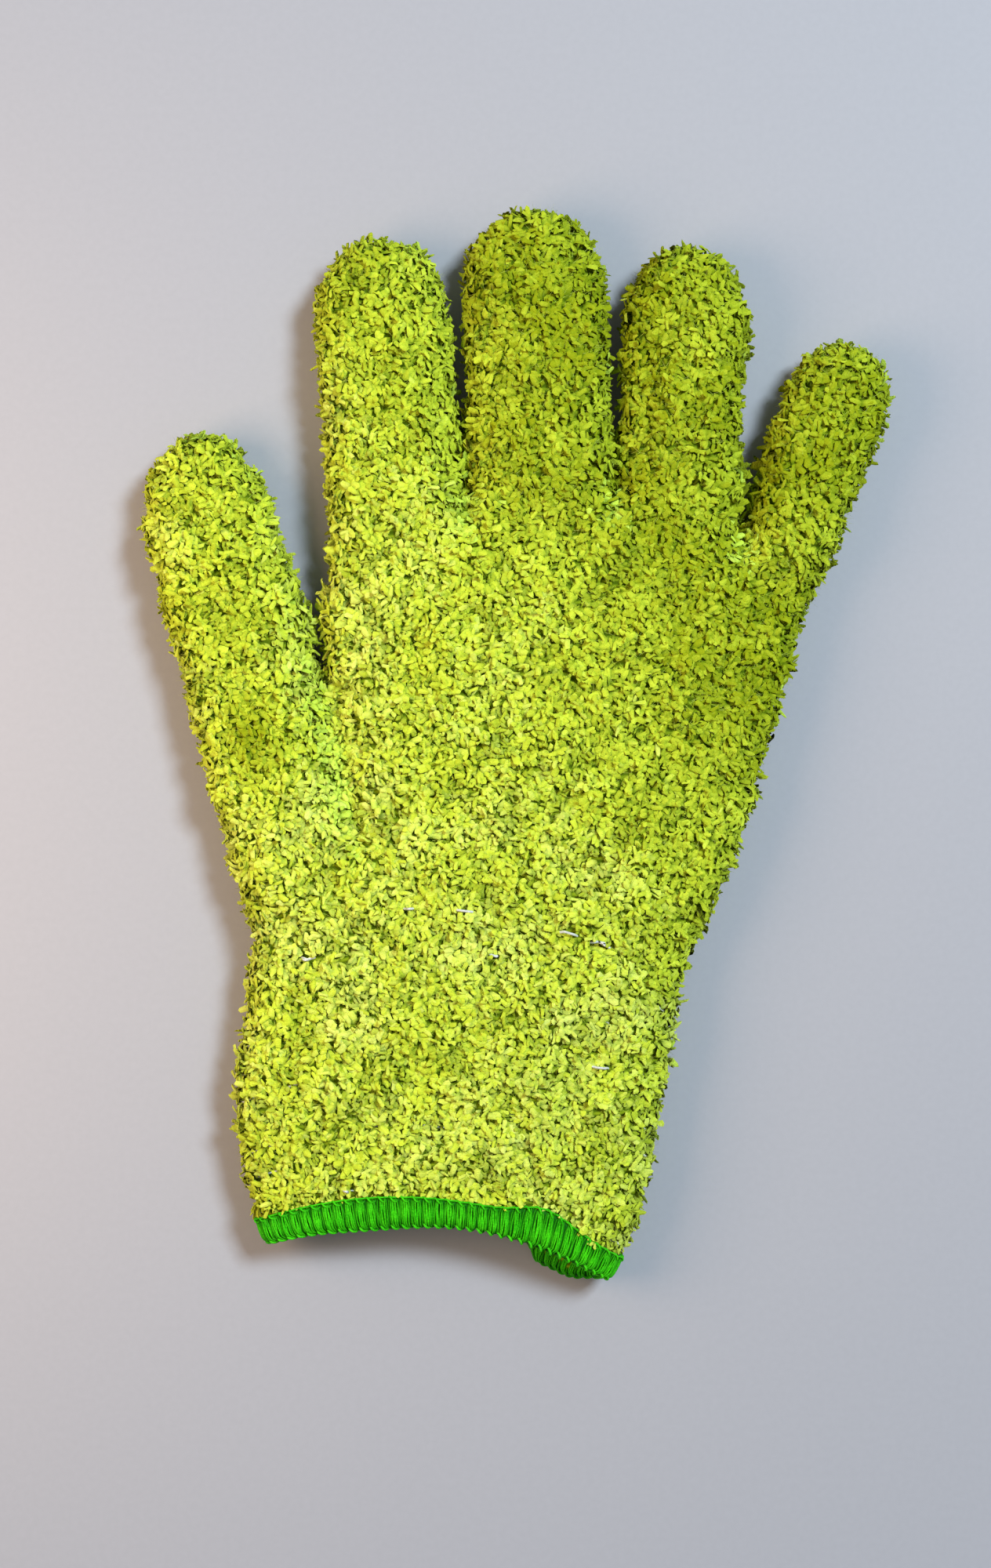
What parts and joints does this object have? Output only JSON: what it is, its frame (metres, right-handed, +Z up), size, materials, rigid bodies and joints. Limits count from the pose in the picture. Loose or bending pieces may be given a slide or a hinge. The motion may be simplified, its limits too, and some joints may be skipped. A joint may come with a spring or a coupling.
{
  "type": "wash glove",
  "caption": "Plush chenille wash glove with separate finger tubes, elasticated wrist sleeve and overlocked cuff edge, lying flat; digits and wrist bend.",
  "frame": {"origin": "on the surface the glove rests on, under the middle of the palm", "axes": "+Z up from the resting surface, +Y from the cuff to the fingertips, thumb on the -X side"},
  "size_m": [0.1686, 0.2405, 0.0183],
  "materials": {
    "chenille_knit": "plush lime-green chenille pile, matt with bright fibre tips and dark gaps",
    "overlock_thread": "bright green satin filament thread",
    "elastic_thread": "white covered elastic, slight sheen"
  },
  "bodies": {
    "palm": {"palm_shell": "chenille_knit"},
    "wrist": {"wrist_sleeve": "chenille_knit", "elastic_thread": "elastic_thread", "binding_outer_looper": "overlock_thread", "binding_inner_looper": "overlock_thread", "binding_needle_thread": "overlock_thread"},
    "thumb_lower": {"thumb_lower": "chenille_knit"},
    "thumb_upper": {"thumb_upper": "chenille_knit"},
    "index_lower": {"index_lower": "chenille_knit"},
    "index_upper": {"index_upper": "chenille_knit"},
    "middle_lower": {"middle_lower": "chenille_knit"},
    "middle_upper": {"middle_upper": "chenille_knit"},
    "ring_lower": {"ring_lower": "chenille_knit"},
    "ring_upper": {"ring_upper": "chenille_knit"},
    "little_lower": {"little_lower": "chenille_knit"},
    "little_upper": {"little_upper": "chenille_knit"}
  },
  "joints": [
    {"name": "wrist_flex", "type": "hinge", "parent": "palm", "child": "wrist", "pos_m": [-0.0055, -0.046, 0.009], "axis": [-1, 0, 0], "range_deg": [-60, 70]},
    {"name": "index_root_bend", "type": "hinge", "parent": "palm", "child": "index_lower", "pos_m": [-0.02301, 0.06528, 0.0085], "axis": [1, 0, 0], "range_deg": [-20, 85]},
    {"name": "index_middle_bend", "type": "hinge", "parent": "index_lower", "child": "index_upper", "pos_m": [-0.02448, 0.08925, 0.0085], "axis": [1, 0, 0], "range_deg": [0, 90]},
    {"name": "middle_root_bend", "type": "hinge", "parent": "palm", "child": "middle_lower", "pos_m": [0.0102, 0.0653, 0.0085], "axis": [1, 0, 0], "range_deg": [-20, 85]},
    {"name": "middle_middle_bend", "type": "hinge", "parent": "middle_lower", "child": "middle_upper", "pos_m": [0.00944, 0.09248, 0.0085], "axis": [1, 0, 0], "range_deg": [0, 90]},
    {"name": "ring_root_bend", "type": "hinge", "parent": "palm", "child": "ring_lower", "pos_m": [0.04162, 0.06529, 0.0085], "axis": [1, 0, 0], "range_deg": [-20, 85]},
    {"name": "ring_middle_bend", "type": "hinge", "parent": "ring_lower", "child": "ring_upper", "pos_m": [0.04262, 0.08825, 0.0085], "axis": [1, 0, 0], "range_deg": [0, 90]},
    {"name": "little_root_bend", "type": "hinge", "parent": "palm", "child": "little_lower", "pos_m": [0.06999, 0.05597, 0.0085], "axis": [1, 0, 0], "range_deg": [-20, 85]},
    {"name": "little_middle_bend", "type": "hinge", "parent": "little_lower", "child": "little_upper", "pos_m": [0.07547, 0.07284, 0.0085], "axis": [1, 0, 0], "range_deg": [0, 90]},
    {"name": "thumb_root_bend", "type": "hinge", "parent": "palm", "child": "thumb_lower", "pos_m": [-0.05771, 0.02753, 0.0085], "axis": [0.9659, 0.2588, 0], "range_deg": [-20, 70]},
    {"name": "thumb_middle_bend", "type": "hinge", "parent": "thumb_lower", "child": "thumb_upper", "pos_m": [-0.06329, 0.04836, 0.0085], "axis": [0.9659, 0.2588, 0], "range_deg": [0, 80]}
  ]
}
